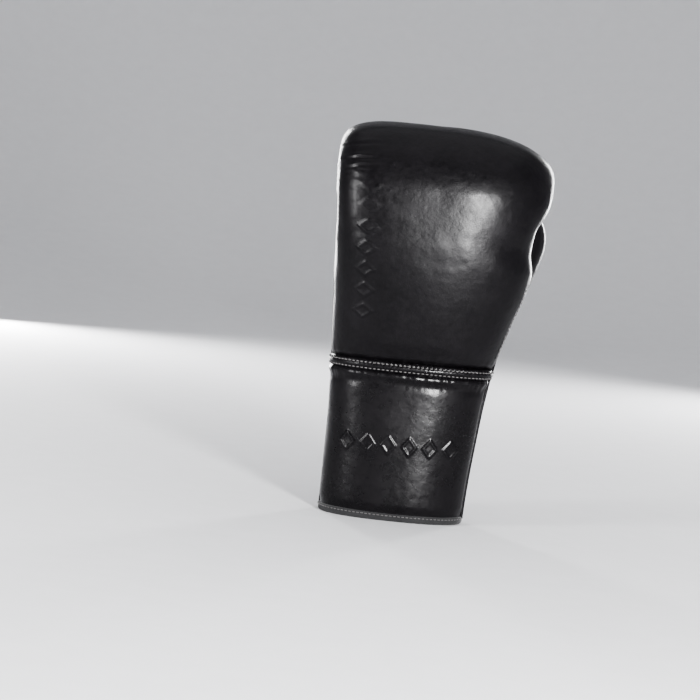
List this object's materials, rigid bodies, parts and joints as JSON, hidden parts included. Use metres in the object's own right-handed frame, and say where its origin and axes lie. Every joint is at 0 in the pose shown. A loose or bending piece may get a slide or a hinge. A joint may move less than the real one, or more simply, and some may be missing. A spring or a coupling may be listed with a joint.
{
  "type": "lace-up boxing glove",
  "caption": "Black leather lace-up boxing glove for the left hand, standing on its cuff: padded curled fist, attached thumb, laced palm side with a keyhole opening.",
  "frame": {"origin": "middle of the bounding box, on the hem's lower face", "axes": "+Z from the cuff's hem up to the knuckles, -Y the back of the hand, +Y the palm, +X the thumb's side"},
  "size_m": [0.1644, 0.1254, 0.298],
  "materials": {
    "black_leather": "smooth semi-gloss black leather",
    "binding_tape": "matte dark grey woven binding tape",
    "firm_foam": "firm closed-cell padding",
    "soft_foam": "soft layered padding",
    "lining_cloth": "dark satin-weave lining",
    "lace_cord": "braided matte lace",
    "lace_tip_plastic": "black plastic lace tip"
  },
  "bodies": {
    "cuff": {"cuff_back_leather": "black_leather", "cuff_back_foam": "firm_foam", "cuff_back_lining": "lining_cloth", "wrist_seam_band": "black_leather", "hem_tape_back": "binding_tape", "little_cuff_piping": "black_leather", "thumbside_cuff_piping": "black_leather", "little_cuff_leather": "black_leather", "little_cuff_foam": "firm_foam", "little_cuff_lining": "lining_cloth", "little_lace_strip": "black_leather", "little_slit_tape": "binding_tape", "little_hem_tape": "binding_tape", "thumbside_cuff_leather": "black_leather", "thumbside_cuff_foam": "firm_foam", "thumbside_cuff_lining": "lining_cloth", "thumbside_lace_strip": "black_leather", "thumbside_slit_tape": "binding_tape", "thumbside_hem_tape": "binding_tape", "lace": "lace_cord", "little_lace_tip": "lace_tip_plastic", "thumbside_lace_tip": "lace_tip_plastic"},
    "hand": {"hand_back_leather": "black_leather", "hand_back_foam": "firm_foam", "hand_back_lining": "lining_cloth", "palm_leather": "black_leather", "palm_foam": "firm_foam", "palm_lining": "lining_cloth", "little_wrist_leather": "black_leather", "little_wrist_foam": "firm_foam", "little_wrist_lining": "lining_cloth", "thumbside_wrist_leather": "black_leather", "thumbside_wrist_foam": "firm_foam", "thumbside_wrist_lining": "lining_cloth", "little_upper_strip": "black_leather", "thumbside_upper_strip": "black_leather", "keyhole_tape": "binding_tape", "grip_bar": "soft_foam", "little_hand_piping": "black_leather", "thumbside_hand_piping": "black_leather"},
    "fingers": {"fist_leather": "black_leather", "fist_impact_foam": "firm_foam", "fist_inner_foam": "soft_foam", "finger_lining": "lining_cloth"},
    "thumb": {"thumb_leather": "black_leather", "thumb_foam": "firm_foam", "thumb_lining": "lining_cloth"}
  },
  "joints": [
    {"name": "wrist_flex", "type": "hinge", "parent": "cuff", "child": "hand", "pos_m": [-0.0112, -0.00415, 0.116], "axis": [1, 0, 0], "range_deg": [-8, 8], "stiffness_Nm_per_rad": 4, "deforming": ["lace"]},
    {"name": "finger_curl", "type": "hinge", "parent": "hand", "child": "fingers", "pos_m": [-0.0112, -0.06265, 0.226], "axis": [1, 0, 0], "range_deg": [0, 12], "stiffness_Nm_per_rad": 2},
    {"name": "thumb_flex", "type": "hinge", "parent": "hand", "child": "thumb", "pos_m": [0.0518, 0.01785, 0.139], "axis": [0, 1, 0], "range_deg": [0, 8], "stiffness_Nm_per_rad": 0.6}
  ]
}
